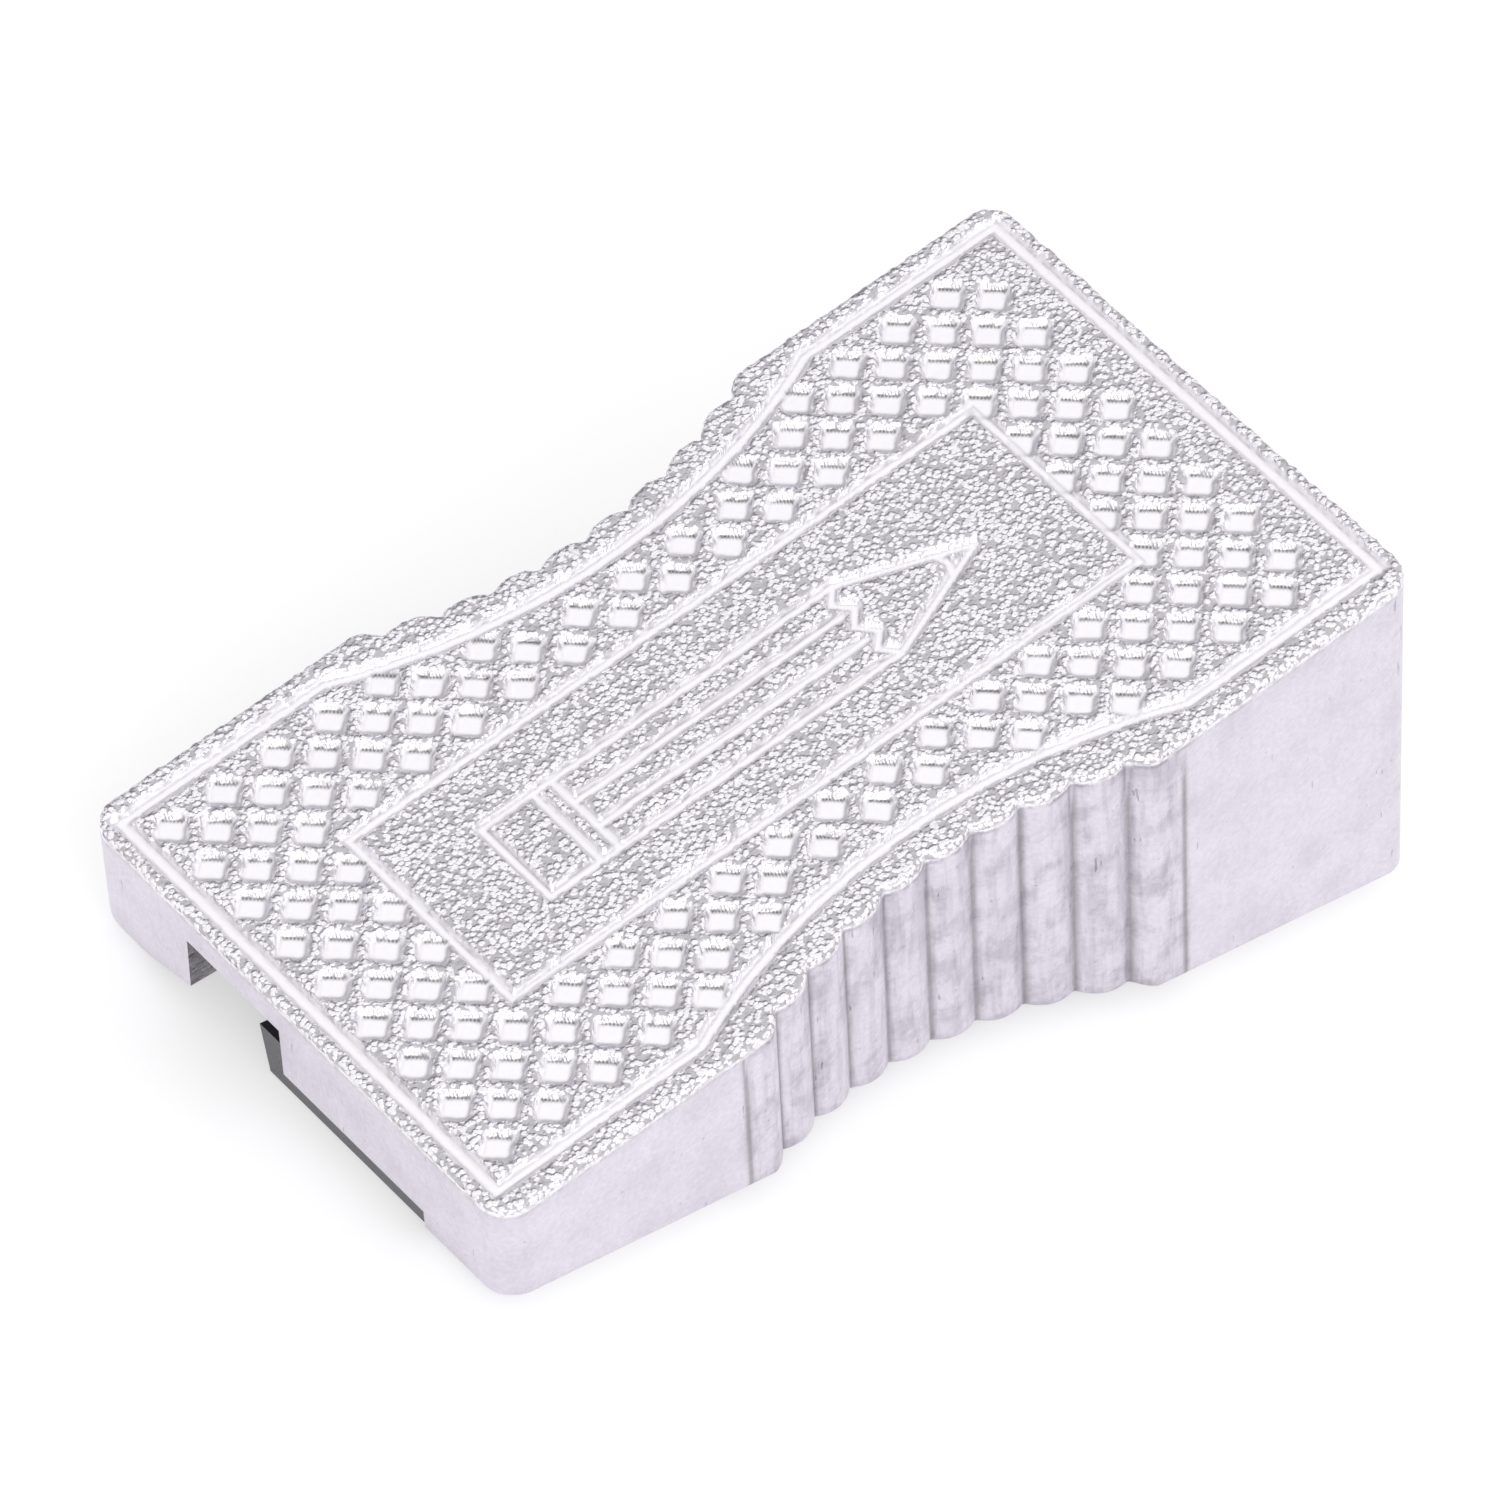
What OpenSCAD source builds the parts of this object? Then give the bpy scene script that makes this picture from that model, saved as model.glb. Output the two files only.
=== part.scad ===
// Single-hole metal wedge pencil sharpener.
// It lies on its blade side: the blade's outer face is the plane z = 0, the thin end
// points to -X, the tall end with the pencil hole to +X, and the decorated face is on top.
// The origin is the middle of the bottom of the bounding box.

/* [Wedge] */
// Length of the decorated face, from the thin end to the tall end
body_l = 25; // [24.5:0.25:26]
// Width across the straight ends
body_w = 13.7; // [13.5:0.1:14.5]
// Depth from the decorated face to the flanks at the thin end
thin_h = 3.25; // [3.2:0.05:3.4]
// Angle between the decorated face and the blade side
wedge_angle = 16.5; // [16.3:0.1:16.8]
// Radius of the four upright corners
corner_r = 0.7; // [0.4:0.1:1]
// Radius along the lower side edges
lower_edge_r = 0.45; // [0.3:0.05:0.5]

/* [Finger grips] */
// Middle of the waist, measured from the thin end
waist_u = 12.45; // [12:0.05:13]
// Half the width between the deepest grooves
waist_half_w = 5.52; // [5.4:0.02:5.7]
// Radius of the arc that the grooves follow
waist_r = 13.8; // [13:0.1:15]
// Number of upright ribs on each side
rib_count = 10; // [8:2:10]
// Pitch of the ribs
rib_pitch = 1.2; // [1.15:0.01:1.25]
// Radius of one rib
rib_r = 1; // [0.9:0.05:1.2]

/* [Decorated face] */
// Depth of the border, the panel's frame and the dimples
recess = 0.16; // [0.1:0.02:0.2]
// How far the drawing sits off the middle line, towards the shaving side
drawing_v = 0.06; // [0:0.01:0.1]
// Middle of the border groove at the thin end
border_u0 = 0.47; // [0.4:0.01:0.6]
// Middle of the border groove at the tall end
border_u1 = 24.53; // [24.4:0.01:24.6]
// Half the distance between the border's straight sides
border_half = 6.2; // [6:0.02:6.3]
// Width of the border groove
border_w = 0.3; // [0.25:0.05:0.35]
// Radius of the border's arcs beside the waist
border_arc_r = 16.7; // [16:0.1:18]
// Half the distance between those arcs at their closest
border_waist_half = 4.82; // [4.7:0.02:4.9]
// Middle of those arcs, from the thin end
border_arc_u = 12.55; // [12:0.05:13]
// Half the width of the middle panel
panel_half_w = 2.69; // [2.5:0.01:2.8]
// Start of the middle panel, from the thin end
panel_u0 = 3.76; // [3.5:0.01:4]
// End of the middle panel, from the thin end
panel_u1 = 20.91; // [20:0.01:21]
// Width of the groove that frames the panel
frame_w = 0.26; // [0.2:0.02:0.3]
// Side of one square dimple, which lies on its corner
dimple_side = 0.64; // [0.5:0.02:0.66]
// Half pitch of the dimples along the length
dimple_pu = 0.711; // [0.7:0.001:0.72]
// Half pitch of the dimples across the width
dimple_pv = 0.671; // [0.66:0.001:0.68]
// First row of dimples, from the thin end
dimple_u0 = 1.17; // [1.1:0.01:1.2]

/* [Pencil hole] */
// Diameter of the hole for the pencil
pencil_d = 8; // [7.8:0.1:8]
// Half of the angle of the sharpened cone
cone_half_angle = 10.5; // [10.3:0.1:10.7]
// Place of the cone's apex along X, from the top of the thin end
apex_x = 1.3; // [1.2:0.1:1.5]
// Height of the flat mouth of the shaving slot, over the blade seat
slot_h = 1.5; // [1.3:0.1:1.6]
// Place of the slot's right wall, which the blade overhangs
slot_y0 = 0.5; // [0.4:0.1:0.7]
// Place of the slot's left wall at the thin end
slot_y1 = 3.4; // [3.3:0.1:3.6]
// Place of the left wall where the slot is widest
slot_y2 = 4.25; // [4.1:0.05:4.3]
// Where the slot becomes widest, along X
slot_wide_x = 6; // [5:0.5:7]
// Length of the slanted end of the slot
slot_end_l = 3; // [2:0.5:4]
// End of the slot along X
slot_end = 18.5; // [17:0.5:19]
// Slope of the ramp beside the slot
ramp_angle = 15.6; // [14:0.2:17]
// End of the ramp along X
ramp_end = 20.5; // [19:0.5:21]
// Place of the ramp's outer edge across the width
ramp_y = 5.4; // [5.2:0.1:5.6]

/* [Blade] */
// Blade length
blade_l = 24; // [23.5:0.5:24]
// Blade width
blade_w = 6; // [5.8:0.1:6]
// Blade thickness
blade_t = 0.9; // [0.85:0.05:0.9]
// Width of the ground bevel
bevel_w = 0.6; // [0.5:0.1:0.8]
// Place of the blade's thin end along X, from the top of the thin end
blade_x = 1.26; // [1.1:0.02:1.3]
// Place of the cutting edge across the width
edge_y = 1.94; // [1.9:0.02:2]
// How far the cutting edge reaches past the line where the cone touches the blade
edge_reach = 0.15; // [0.05:0.05:0.2]

/* [Screw] */
// Thread diameter
screw_d = 2.5; // [2.3:0.1:2.5]
// Head diameter
head_d = 4.1; // [4:0.1:4.2]
// Distance of the screw from the blade's thin end
screw_along = 9.5; // [9:0.25:10]
// Distance of the screw from the cutting edge
screw_in = 3.75; // [3.7:0.05:3.8]
// Length of the thread above the blade seat
thread_l = 3.2; // [2.8:0.2:3.6]
// Width of the driver slot
driver_w = 0.7; // [0.6:0.1:0.8]
// Depth of the driver slot
driver_depth = 0.45; // [0.4:0.05:0.5]

/* [Hidden] */
fine = 96;
rib_steps = 8;
corner_steps = 6;
// Clearance beside the blade and round the screw
gap = 0.05;
// Length by which cutters pass the faces that they open
over = 1;
// Width of the seat past the cutting edge
seat_past = 0.6;
// Space above the screw's tip
tip_room = 0.4;
// Length and depth of the long cutters, larger than any part of the body
far = 14;
cos_w = cos(wedge_angle);
sin_w = sin(wedge_angle);
// Height of the flanks over the plane of the blade's outer face
flank_z = 0.29;
// The decorated face's thin-end edge, as a height over z = 0
thin_z = flank_z + thin_h * cos_w;
// The bounding box in X runs from the top of the thin end to the foot of the tall end
tall_h = thin_h + body_l * tan(wedge_angle);
box_x1 = body_l * cos_w + tall_h * sin_w;
mid_x = box_x1 / 2;
axis_y = edge_y - edge_reach;
cone_len = pencil_d / 2 / tan(cone_half_angle);
head_h = (head_d - screw_d) / 2;

// Puts a shape drawn on the decorated face (u along, v across, w outward) in its place.
module on_face() {
    translate([0, 0, thin_z]) rotate([0, -wedge_angle, 0]) children();
}

// Moves the whole part so that its origin is the middle of the bottom.
module centred() {
    translate([-mid_x, 0, 0]) children();
}

// Puts a shape drawn from the cutting edge's thin-end corner in its place: x runs along the
// blade, and -y towards its back.
module on_blade() {
    translate([blade_x, edge_y, 0]) children();
}

// Tilts a shape so that its XY plane holds the pencil's axis, for cuts square to that axis.
module over_axis() {
    translate([0, 0, blade_t]) rotate([0, -cone_half_angle, 0]) children();
}

// Puts a shape drawn along +Z from the cone's apex on the pencil's axis.
module on_axis() {
    translate([apex_x, axis_y, blade_t]) rotate([0, 90 - cone_half_angle, 0]) children();
}

// Groove number i on the waist's arc, counted from the middle.
function groove(i) =
    [waist_u + i * rib_pitch, waist_half_w + waist_r - sqrt(pow(waist_r, 2) - pow(i * rib_pitch, 2))];

// The middle of the circle of rib i, which runs from groove i to groove i + 1.
function rib_centre(i) =
    let (a = groove(i), b = groove(i + 1), half = norm(b - a) / 2, along = (b - a) / norm(b - a))
    (a + b) / 2 + [along[1], -along[0]] * sqrt(rib_r * rib_r - half * half);

// Points round an arc with centre c and radius r, from angle a to angle b.
function arc(c, r, a, b, steps) =
    [for (k = [0:steps]) let (t = a + (b - a) * k / steps) c + r * [cos(t), sin(t)]];

// Direction of point p, seen from centre c.
function angle_of(c, p) = atan2(p[1] - c[1], p[0] - c[0]);

// One rib's outline, without the part that would stand out of the straight sides.
function rib_points(i) =
    let (c = rib_centre(i), top = asin(min(1, (body_w / 2 - c[1]) / rib_r)))
    let (a = angle_of(c, groove(i)), b = angle_of(c, groove(i + 1)))
    arc(c, rib_r, i == -rib_count / 2 ? top : a, i == rib_count / 2 - 1 ? 180 - top : b, rib_steps);

// All ribs of one side in a row, each without the point that it shares with the one before it.
function rib_row() =
    let (first = -rib_count / 2)
    [for (i = [first:-first - 1]) let (p = rib_points(i)) for (k = [i == first ? 0 : 1:rib_steps]) p[k]];

// The left side of the body, from the thin end to the tall end.
function side_points() = concat(
    arc([corner_r, body_w / 2 - corner_r], corner_r, 180, 90, corner_steps),
    rib_row(),
    arc([body_l - corner_r, body_w / 2 - corner_r], corner_r, 90, 0, corner_steps)
);

// The same points on the other side, in reverse order.
function mirrored(points) = [for (k = [len(points) - 1:-1:0]) [points[k][0], -points[k][1]]];

// The outline of the body, seen square to the decorated face.
module outline() {
    half = side_points();
    polygon(concat(half, mirrored(half)));
}

// Half the width between the border's arcs at distance u from the thin end.
function arc_half(u) =
    let (from_middle = min(abs(u - border_arc_u), far))
    border_waist_half + border_arc_r - sqrt(pow(border_arc_r, 2) - pow(from_middle, 2));

// The area inside the border groove, grown or shrunk by d.
module border_area(d) {
    difference() {
        translate([border_u0 - d, -border_half - d]) {
            square([border_u1 - border_u0 + 2 * d, 2 * (border_half + d)]);
        }
        for (s = [-1, 1]) {
            translate([border_arc_u, s * (border_waist_half + border_arc_r)]) {
                circle(r = border_arc_r - d, $fn = fine * 2);
            }
        }
    }
}

// The area of the middle panel, grown or shrunk by d.
module panel_area(d) {
    translate([panel_u0 - d, -panel_half_w - d]) {
        square([panel_u1 - panel_u0 + 2 * d, 2 * (panel_half_w + d)]);
    }
}

// Dimples lie where the two half pitches add to an even number, inside the border and outside the panel.
module dimples() {
    rows = floor((body_l - 2 * dimple_u0) / dimple_pu);
    cols = floor(body_w / 2 / dimple_pv);
    reach = dimple_side / sqrt(2);
    for (i = [0:rows], j = [-cols:cols]) {
        u = dimple_u0 + i * dimple_pu;
        v = j * dimple_pv;
        clear = min(arc_half(u), border_half) - border_w / 2 - reach;
        off_panel = abs(v) > panel_half_w + reach || u < panel_u0 - reach || u > panel_u1 + reach;
        if ((i + j) % 2 == 0 && abs(v) < clear && off_panel) {
            translate([u, v]) rotate([0, 0, 45]) square([dimple_side, dimple_side], center = true);
        }
    }
}

// The drawing that is sunk into the decorated face.
module drawing() {
    difference() {
        border_area(border_w / 2);
        border_area(-border_w / 2);
    }
    difference() {
        panel_area(frame_w / 2);
        panel_area(-frame_w / 2);
    }
    dimples();
}

// The cross-section that limits the body from below, with its lower side edges rounded.
module section() {
    r = lower_edge_r;
    half = concat([[body_w / 2 + over, far], [body_w / 2 + over, flank_z + r]],
        arc([body_w / 2 - r, flank_z + r], r, 0, -90, corner_steps));
    polygon(concat(half, [for (k = [len(half) - 1:-1:0]) [-half[k][0], half[k][1]]]));
}

// The wedge with its sunk drawing, before the hole and the blade's seat are cut from it.
module blank() {
    difference() {
        intersection() {
            on_face() translate([0, 0, -far]) linear_extrude(far) outline();
            translate([-over, 0, 0]) rotate([90, 0, 90]) linear_extrude(box_x1 + 2 * over) section();
        }
        on_face() translate([0, drawing_v, -recess]) linear_extrude(recess + over) drawing();
    }
}

// The recess that the blade lies in, open to the thin end and to the shaving slot.
module seat() {
    on_blade() translate([-far, -blade_w - gap, -over]) {
        cube([far + blade_l + gap, blade_w + gap + seat_past, over + blade_t]);
    }
}

// The shaving slot: a flat mouth at the thin end, then the side of the cone opened as far down as its axis.
module shaving_slot() {
    translate([0, 0, -over]) linear_extrude(over + blade_t + slot_h) {
        polygon([[-over, slot_y0], [-over, slot_y1], [slot_wide_x, slot_y2], [slot_wide_x, slot_y0]]);
    }
    over_axis() translate([0, 0, -far]) linear_extrude(far) {
        wide = [[slot_wide_x, slot_y2], [slot_end - slot_end_l, slot_y2]];
        polygon(concat([[over, axis_y], [over, slot_y1]], wide, [[slot_end, axis_y]]));
    }
}

// The slope that leads the shavings off the left side, and stops short of the tall end.
module shaving_ramp() {
    run = (ramp_y - axis_y) / cos(ramp_angle);
    translate([-over, ramp_y, flank_z]) rotate([-ramp_angle, 0, 0]) translate([0, -run, -far]) {
        cube([ramp_end + over, run, far]);
    }
}

// The hole that the pencil goes into: a cone for its point and a cylinder for its stem.
module pencil_hole() {
    out = cone_len + far;
    on_axis() rotate_extrude($fn = fine) {
        polygon([[0, 0], [pencil_d / 2, cone_len], [pencil_d / 2, out], [0, out]]);
    }
}

// Puts a shape drawn along +Z from the middle of the screw's head in its place.
module at_screw() {
    on_blade() translate([screw_along, -screw_in, 0]) children();
}

module body() {
    color("#d9d6dc") centred() difference() {
        blank();
        seat();
        shaving_slot();
        shaving_ramp();
        pencil_hole();
        at_screw() cylinder(d = screw_d, h = blade_t + thread_l + tip_room, $fn = fine);
        at_screw() cylinder(d1 = head_d + 2 * gap, d2 = screw_d, h = head_h + gap, $fn = fine);
    }
}

module blade() {
    color("#8d9094") centred() difference() {
        on_blade() rotate([90, 0, 90]) linear_extrude(blade_l) {
            polygon([[-blade_w, 0], [-bevel_w, 0], [0, blade_t], [-blade_w, blade_t]]);
        }
        at_screw() translate([0, 0, -over]) {
            cylinder(d = screw_d + 2 * gap, h = over + blade_t + over, $fn = fine);
        }
        at_screw() cylinder(d1 = head_d + 2 * gap, d2 = screw_d + 2 * gap, h = head_h, $fn = fine);
        at_screw() translate([0, 0, -over]) cylinder(d = head_d + 2 * gap, h = over, $fn = fine);
    }
}

module screw() {
    color("#b9babd") centred() at_screw() difference() {
        union() {
            cylinder(d1 = head_d, d2 = screw_d - gap, h = head_h, $fn = fine);
            cylinder(d = screw_d - gap, h = blade_t + thread_l, $fn = fine);
        }
        translate([-head_d, -driver_w / 2, -over]) cube([2 * head_d, driver_w, over + driver_depth]);
    }
}

body();
blade();
screw();
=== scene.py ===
"""Looks for the cast-metal wedge pencil sharpener. Shapes are drawn in millimetres and scaled to metres."""
import math

import bmesh
import bpy
import numpy as np
from mathutils import Matrix, Vector


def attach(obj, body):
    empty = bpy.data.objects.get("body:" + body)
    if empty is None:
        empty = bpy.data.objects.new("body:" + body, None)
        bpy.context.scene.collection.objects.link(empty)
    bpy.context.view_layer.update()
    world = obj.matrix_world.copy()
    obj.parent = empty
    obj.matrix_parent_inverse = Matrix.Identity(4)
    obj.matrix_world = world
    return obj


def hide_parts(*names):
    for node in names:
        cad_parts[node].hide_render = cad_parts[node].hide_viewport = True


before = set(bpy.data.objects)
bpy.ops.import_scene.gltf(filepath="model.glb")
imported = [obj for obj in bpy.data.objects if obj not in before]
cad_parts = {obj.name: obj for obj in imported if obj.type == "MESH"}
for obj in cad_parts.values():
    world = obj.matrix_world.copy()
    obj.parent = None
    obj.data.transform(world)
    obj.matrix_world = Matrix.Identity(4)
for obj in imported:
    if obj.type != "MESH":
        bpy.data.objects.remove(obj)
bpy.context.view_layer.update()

MM = 0.001

# ---------------------------------------------------------------- sizes, as in the CAD part
BODY_L, BODY_W, THIN_H = 25.0, 13.7, 3.25
WEDGE = math.radians(16.5)
COS_W, SIN_W, TAN_W = math.cos(WEDGE), math.sin(WEDGE), math.tan(WEDGE)
FLANK_Z = 0.29
THIN_Z = FLANK_Z + THIN_H * COS_W
MID_X = (BODY_L * COS_W + (THIN_H + BODY_L * TAN_W) * SIN_W) / 2
CORNER_R, LOWER_R, RIM_R = 0.7, 0.45, 0.13
WAIST_U, WAIST_HALF, WAIST_R = 12.45, 5.52, 13.8
RIB_COUNT, RIB_PITCH, RIB_R = 10, 1.2, 1.0
RIBS_HALF = RIB_COUNT / 2 * RIB_PITCH
RECESS = 0.16
BORDER_U0, BORDER_U1, BORDER_HALF = 0.47, 24.53, 6.2
BORDER_ARC_U, BORDER_WAIST, BORDER_ARC_R = 12.55, 4.82, 16.7
PANEL_U0, PANEL_U1, PANEL_HALF = 3.76, 20.91, 2.69
DRAWING_V = 0.06
DIMPLE_PU, DIMPLE_PV, DIMPLE_U0 = 0.711, 0.671, 1.17
CONE_HALF = math.radians(10.5)
COS_C, SIN_C = math.cos(CONE_HALF), math.sin(CONE_HALF)
PENCIL_R, APEX_X, BLADE_T = 4.0, 1.3, 0.9
CONE_L = PENCIL_R / math.tan(CONE_HALF)
EDGE_Y, EDGE_REACH = 1.94, 0.15
AXIS_Y = EDGE_Y - EDGE_REACH
BLADE_X, BLADE_L, BLADE_W, BEVEL_W = 1.26, 24.0, 6.0, 0.6
SCREW_X, SCREW_Y = BLADE_X + 9.5, EDGE_Y - 3.75
SCREW_R, HEAD_R, THREAD_L = 1.25, 2.05, 3.2
DRIVER_HALF, DRIVER_DEPTH = 0.35, 0.45
CHIP_ROOM = 0.6                            # the seat runs this far past the cutting edge
MOUTH_Y, SLOT_Y, WIDE_X = 3.4, 4.25, 6     # the slot's far side at the thin end, and from WIDE_X on
RAMP_X0, RAMP_X1, RAMP_Y = -1, 20.5, 5.4
RAMP = math.radians(15.6)
GAP = 0.05
OUT = 14                                   # a length that leaves the body

# ---------------------------------------------------------------- sizes of the visual mesh alone
CELL, LINES_ACROSS = 0.055, 227            # the decorated face's grid, along it and across it
EDGE_LINES = np.array([0, 0.008, 0.03, 0.065, 0.11, 0.16, 0.21, 0.27])
END_ZONE, END_STEP, STEP = 0.3, 0.007, 0.03    # grid lines are at least this far apart
CUSP_SOFT = 0.045
LID_W = -0.36                              # the shell ends on a plane this far under the face
END_LOWER_R = 0.12
SHELL_LEVELS = (0, 0.15, 0.3, 0.45, 0.6, 0.75, 0.9, 1.0)
ROUND_STEPS = 7
MANY_SIDES = 500                           # only the lid and the underside have more
FAR = 9.0                                  # any distance too long to matter
NEAR_END, NEAR_SIDE = 0.4, 5.0             # grid points beyond these may lie on the rim
WOBBLE, WOBBLE_CELL = 0.012, 0.15          # the drawing's lines wander a little
BORDER_FLOOR, BORDER_WALL = 0.10, 0.14     # half width of a sunk line's floor, and its wall
PANEL_FLOOR, PANEL_WALL = 0.08, 0.12
PICTURE_WALL = 0.11
DIMPLE_FLOOR, DIMPLE_WALL, DIMPLE_REACH = 0.25, 0.17, 0.75
DIMPLE_ROOM, DIMPLE_OFF_PANEL = 0.3, 0.12  # the smallest gaps to the border and to the panel
SHADE_LINE_AT, SHADE_LINE_W = 0.09, 0.03               # painted shade: the dark line at a sunk wall's foot
SHALLOW = 0.9                              # thin lines are sunk a little less


def face_point(u, v, w):
    """A point given along, across and out of the decorated face, in the row frame."""
    return np.stack([u * COS_W - w * SIN_W - MID_X, v, THIN_Z + u * SIN_W + w * COS_W], axis=-1)


# ---------------------------------------------------------------- the outline
def arc(r, x):
    """Height of a circle of radius r at distance x from its centre, 0 beside it."""
    return math.sqrt(max(0, r ** 2 - x ** 2))


def groove(i):
    """The point where groove number i meets the side's shallow waist."""
    return WAIST_U + i * RIB_PITCH, WAIST_HALF + WAIST_R - arc(WAIST_R, i * RIB_PITCH)


def rib_circle(i):
    """Centre of the round rib between groove i and the next one."""
    (au, av), (bu, bv) = groove(i), groove(i + 1)
    half = math.hypot(bu - au, bv - av) / 2
    du, dv = (bu - au) / (2 * half), (bv - av) / (2 * half)
    drop = arc(RIB_R, half)
    return (au + bu) / 2 + dv * drop, (av + bv) / 2 - du * drop


def half_width_at(u):
    """Half the body's width at distance u from the thin end."""
    half = BODY_W / 2
    from_end = min(u, BODY_L - u)
    if from_end < CORNER_R:
        return half - CORNER_R + arc(CORNER_R, CORNER_R - from_end)
    i = math.floor((u - WAIST_U) / RIB_PITCH)
    first, last = -RIB_COUNT // 2, RIB_COUNT // 2 - 1
    if i < first or i > last:
        return half
    cu, cv = rib_circle(i)
    outer = (i == first and u < cu) or (i == last and u > cu)
    return half if outer else min(half, cv + arc(RIB_R, u - cu))


def soft_half_width(u):
    """The same, with the grooves' cusps rounded a little as in a casting."""
    if abs(u - WAIST_U) > RIBS_HALF + 0.3:
        return half_width_at(u)
    steps = np.linspace(-CUSP_SOFT, CUSP_SOFT, 5)
    return float(np.mean([half_width_at(u + s) for s in steps]))


# ---------------------------------------------------------------- the decorated face's grid
def spaced(a, b, step):
    return np.linspace(a, b, max(2, round((b - a) / step) + 1))


def grid_lines():
    """Distances from the thin end, close together at both ends of the body."""
    corner = CORNER_R * (1 - np.cos(np.linspace(0, math.pi / 2, 13)))
    at_end = np.concatenate([corner, EDGE_LINES, spaced(END_ZONE, CORNER_R, 0.05)])
    middle = spaced(CORNER_R, BODY_L - CORNER_R, CELL)
    lines = np.unique(np.round(np.concatenate([at_end, middle, BODY_L - at_end]), 4))
    keep = [0]
    for k in range(1, len(lines)):
        in_zone = min(lines[k], BODY_L - lines[k]) < END_ZONE
        if lines[k] - lines[keep[-1]] > (END_STEP if in_zone else STEP):
            keep.append(k)
    lines = lines[keep]
    lines[-1] = BODY_L
    return lines


def round_the_rim(grid):
    """The values on a grid's rim, in one closed round."""
    return np.concatenate([grid[:, -1], grid[-1, ::-1][1:-1], grid[::-1, 0], grid[0, :][1:-1]])


U = grid_lines()
inner = np.linspace(-1, 1, LINES_ACROSS)[1:-1]
V = np.array([np.concatenate([-w + EDGE_LINES, inner * (w - EDGE_LINES[-1]), (w - EDGE_LINES)[::-1]])
              for w in (soft_half_width(u) for u in U)])
N_U, N_V = V.shape
UU = np.repeat(U[:, None], N_V, axis=1)
P = np.stack([UU.ravel(), V.ravel()], axis=1)
LOOP = np.stack([round_the_rim(UU), round_the_rim(V)], axis=1)


def distance_to_segments(points, a, b):
    """Shortest distance of each point to any of the segments a-b."""
    best = np.full(len(points), 1e9)
    for p, q in zip(a, b):
        d = q - p
        t = np.clip(((points - p) @ d) / max(1e-12, d @ d), 0, 1)
        best = np.minimum(best, np.hypot(*(points - p - t[:, None] * d).T))
    return best


def distance_to_rim():
    """Distance of each grid point to the outline, FAR for the points well inside it."""
    near = (P[:, 0] < NEAR_END) | (P[:, 0] > BODY_L - NEAR_END) | (np.abs(P[:, 1]) > NEAR_SIDE)
    rim = np.full(len(P), FAR)
    ends = np.roll(LOOP, -1, axis=0)
    segments = {}
    for k, (u, v) in enumerate(LOOP):
        segments.setdefault((int(u // 1), bool(v > 0)), []).append(k)
    for millimetre in range(-1, int(BODY_L) + 2):
        for side in (False, True):
            mine = near & (np.floor(P[:, 0]) == millimetre) & ((P[:, 1] > 0) == side)
            ks = [k for du in (-1, 0, 1) for k in segments.get((millimetre + du, side), [])]
            if mine.any() and ks:
                rim[mine] = distance_to_segments(P[mine], LOOP[ks], ends[ks])
    return rim


def smooth(x):
    x = np.clip(x, 0, 1)
    return x * x * (3 - 2 * x)


def patchy(points, cell, seed):
    """Smooth random values between -1 and 1 that change over about one cell."""
    size = (int(BODY_L / cell) + 5, int(BODY_W / cell) + 5)
    grid = np.random.default_rng(seed).uniform(-1, 1, size)
    x, y = points[:, 0] / cell + 1, (points[:, 1] + BODY_W / 2) / cell + 1
    i, j = np.floor(x).astype(int), np.floor(y).astype(int)
    fx, fy = smooth(x - i), smooth(y - j)
    low = grid[i, j] * (1 - fx) + grid[i + 1, j] * fx
    high = grid[i, j + 1] * (1 - fx) + grid[i + 1, j + 1] * fx
    return low * (1 - fy) + high * fy


# ---------------------------------------------------------------- the sunk drawing
def channel(distance, floor_half, wall):
    """1 on a groove's floor, 0 outside it, with a smooth wall between."""
    return 1 - smooth((distance - floor_half) / wall)


# painted shade: the profile of the dark lines at the feet of sunk walls
def shade_line(distance, middle, width):
    """1 at the middle distance, fading out on both sides of it."""
    return np.exp(-((distance - middle) / width) ** 2)


def border_arc(u):
    """Half the width between the border's two long curved lines."""
    return BORDER_WAIST + BORDER_ARC_R - np.sqrt(BORDER_ARC_R ** 2 - np.minimum(np.abs(u - BORDER_ARC_U), 12) ** 2)


def stroke(points, closed=False):
    """A line through the points, as the starts and the ends of its segments."""
    pts = np.array(points, float)
    return (pts, np.roll(pts, -1, axis=0)) if closed else (pts[:-1], pts[1:])


def pencil_strokes():
    """A plain pencil that lies along the middle panel."""
    tip, shoulder, ferrule, end = 18.6, 15.6, 7.4, 6.0
    half, facet, scallop = 1.15, 0.4, 0.35
    band = ferrule + 0.5
    waves = [(shoulder - scallop * (k % 2), y) for k, y in enumerate((-half, -0.75, -facet, 0, facet, 0.75, half))]
    strokes = [stroke([(end, -half), (shoulder, -half), (tip, 0), (shoulder, half), (end, half)], True),
               stroke(waves), stroke([(tip - 0.9, -0.36), (tip - 0.75, 0), (tip - 0.9, 0.36)])]
    strokes += [stroke([(x, -half), (x, half)]) for x in (ferrule, band)]
    strokes += [stroke([(band, y), (shoulder - scallop, y)]) for y in (-facet, facet)]
    return [np.concatenate(part) for part in zip(*strokes)]


u = P[:, 0] + WOBBLE * patchy(P, WOBBLE_CELL, 1)
v = P[:, 1] - DRAWING_V + WOBBLE * patchy(P, WOBBLE_CELL, 2)
ragged = 1 + 0.35 * patchy(P, 0.13, 5)
arc_slope = np.clip((u - BORDER_ARC_U) / BORDER_ARC_R, -0.7, 0.7)
side_gap = np.minimum(BORDER_HALF - np.abs(v), (border_arc(u) - np.abs(v)) * np.sqrt(1 - arc_slope ** 2))
inside_border = np.minimum(side_gap, np.minimum(u - BORDER_U0, BORDER_U1 - u))
panel_gap = np.maximum(np.maximum(PANEL_U0 - u, u - PANEL_U1), np.abs(v) - PANEL_HALF)
border_distance, panel_distance = np.abs(inside_border), np.abs(panel_gap)

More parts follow.
